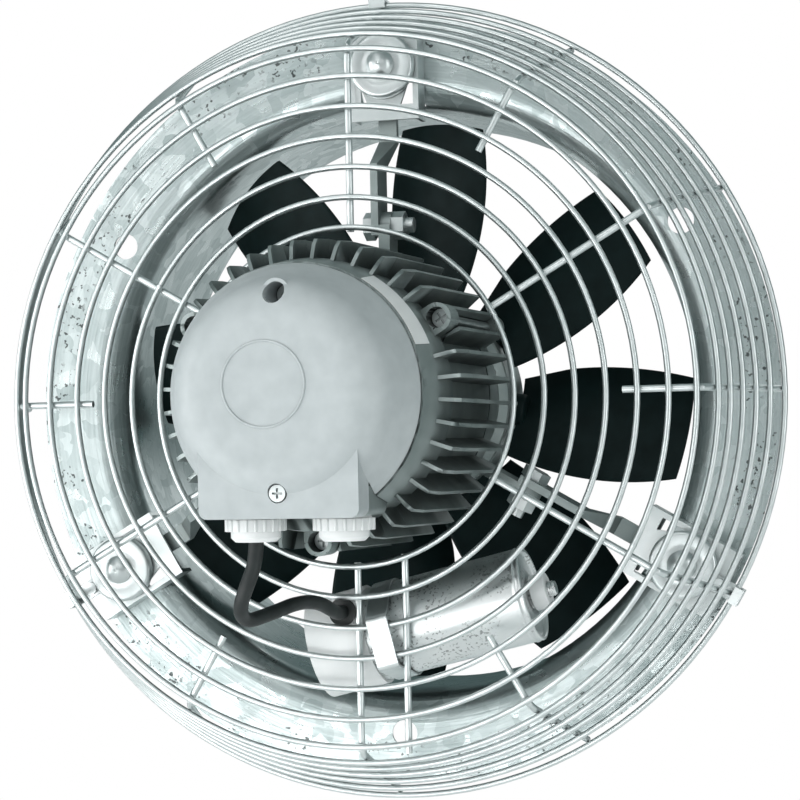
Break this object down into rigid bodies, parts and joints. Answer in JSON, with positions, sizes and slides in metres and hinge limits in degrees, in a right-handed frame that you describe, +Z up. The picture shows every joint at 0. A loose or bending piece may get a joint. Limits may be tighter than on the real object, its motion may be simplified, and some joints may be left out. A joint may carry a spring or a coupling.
{
  "type": "axial wall fan",
  "caption": "Round axial wall fan: spun sheet ring with nozzle, damped strut arms, finned motor with terminal box, bladed impeller, wire guard and strapped capacitor.",
  "frame": {"origin": "centre of the flange's back face, on the fan axis", "axes": "+Z up; the fan axis runs along Y, with the motor and guard towards -Y and the nozzle towards +Y"},
  "size_m": [0.4228, 0.322, 0.4249],
  "materials": {
    "galvanised_sheet": "mottled hot-dip zinc, satin",
    "guard_wire": "bright zinc plated wire",
    "zinc_parts": "zinc plated",
    "cast_aluminium": "rough die casting",
    "machined_steel": "ground",
    "electrical_steel": "stacked sheet edges",
    "copper_wire": "enamelled copper",
    "black_rubber": "matte",
    "grey_plastic": "fine grained, light grey",
    "white_plastic": "moulded, slightly glossy",
    "can_aluminium": "drawn aluminium, bright",
    "blade_plastic": "glass filled, near black"
  },
  "bodies": {
    "root": {"wall_ring": "galvanised_sheet", "guard_face_rings": "guard_wire", "guard_side_rings": "guard_wire", "guard_spokes": "guard_wire", "guard_clips": "zinc_parts", "clip_screws": "zinc_parts", "strut_brackets": "zinc_parts", "damper_cups": "zinc_parts", "damper_bolts": "zinc_parts", "damper_nuts": "zinc_parts", "lug_bolts": "zinc_parts", "lug_nuts": "zinc_parts", "tie_screws": "zinc_parts", "cover_screws": "zinc_parts", "base_screws": "zinc_parts", "capacitor_strap": "zinc_parts", "strut_arms": "cast_aluminium", "motor_housing": "cast_aluminium", "rear_endshield": "cast_aluminium", "drive_endshield": "cast_aluminium", "terminal_base": "cast_aluminium", "bearing_outer_rings": "machined_steel", "wave_washer": "machined_steel", "stator_core": "electrical_steel", "stator_winding": "copper_wire", "damper_rubbers": "black_rubber", "cover_gasket": "black_rubber", "gland_seals": "black_rubber", "capacitor_grommet": "black_rubber", "capacitor_cable": "black_rubber", "terminal_cover": "grey_plastic", "terminal_block": "white_plastic", "gland_bodies": "white_plastic", "gland_nuts": "white_plastic", "capacitor_cap": "white_plastic", "capacitor_nut": "white_plastic", "label_strip": "white_plastic", "capacitor_can": "can_aluminium"},
    "rotor": {"shaft": "machined_steel", "shaft_key": "machined_steel", "shaft_circlip": "machined_steel", "shaft_seal": "black_rubber", "rotor_core": "electrical_steel", "rotor_cage": "cast_aluminium", "bearing_inner_rings": "machined_steel", "hub_front": "cast_aluminium", "hub_rear": "cast_aluminium", "hub_bolts": "zinc_parts", "hub_screw": "zinc_parts", "blade_1": "blade_plastic", "blade_2": "blade_plastic", "blade_3": "blade_plastic", "blade_4": "blade_plastic", "blade_5": "blade_plastic", "blade_6": "blade_plastic", "blade_7": "blade_plastic", "blade_8": "blade_plastic"},
    "ball_cages": {"bearing_balls": "machined_steel", "bearing_cages": "white_plastic"}
  },
  "joints": [
    {"name": "rotor_spin", "type": "hinge", "parent": "root", "child": "rotor", "pos_m": [0, 0, 0], "axis": [0, 1, 0], "continuous": true},
    {"name": "ball_cage_spin", "type": "hinge", "parent": "root", "child": "ball_cages", "pos_m": [0, 0, 0], "axis": [0, 1, 0], "continuous": true}
  ],
  "couplings": [
    {"joint": "ball_cage_spin", "follows": "rotor_spin", "ratio": 0.38}
  ]
}
